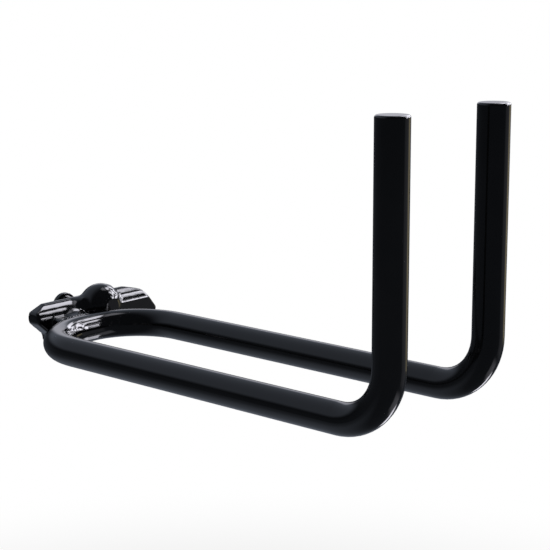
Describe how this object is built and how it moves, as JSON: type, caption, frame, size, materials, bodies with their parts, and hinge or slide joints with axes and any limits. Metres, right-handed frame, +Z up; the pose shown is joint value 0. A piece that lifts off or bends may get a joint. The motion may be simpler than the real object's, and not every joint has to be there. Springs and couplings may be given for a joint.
{
  "type": "garage utility hook",
  "caption": "Black utility hook bent from round bar with upturned arms, welded to a cast fitting with mushroom studs and a sprung finger lock, for hanging gear on a wall track.",
  "frame": {"origin": "on the face that rests against the track, on the slot's centre line, in the middle plane of the two arms", "axes": "+X along the track, +Y into the wall, +Z up"},
  "size_m": [0.0946, 0.2294, 0.1211],
  "materials": {
    "bar_coat": "gloss black paint",
    "base_coat": "gloss black paint over a casting",
    "bare_metal": "turned, zinc plated"
  },
  "bodies": {
    "hook": {"hook_bar": "bar_coat", "track_base": "base_coat", "weld_bead": "base_coat", "plunger_spring": "bare_metal"},
    "lock": {"lock_plunger": "bare_metal", "finger_pin": "bare_metal", "finger_grip": "bare_metal"}
  },
  "joints": [
    {"name": "lock_pull", "type": "slide", "parent": "hook", "child": "lock", "axis": [0, -1, 0], "range_m": [0, 0.0028], "stiffness_N_per_m": 900, "springref_m": -0.004, "deforming": ["plunger_spring"]}
  ]
}
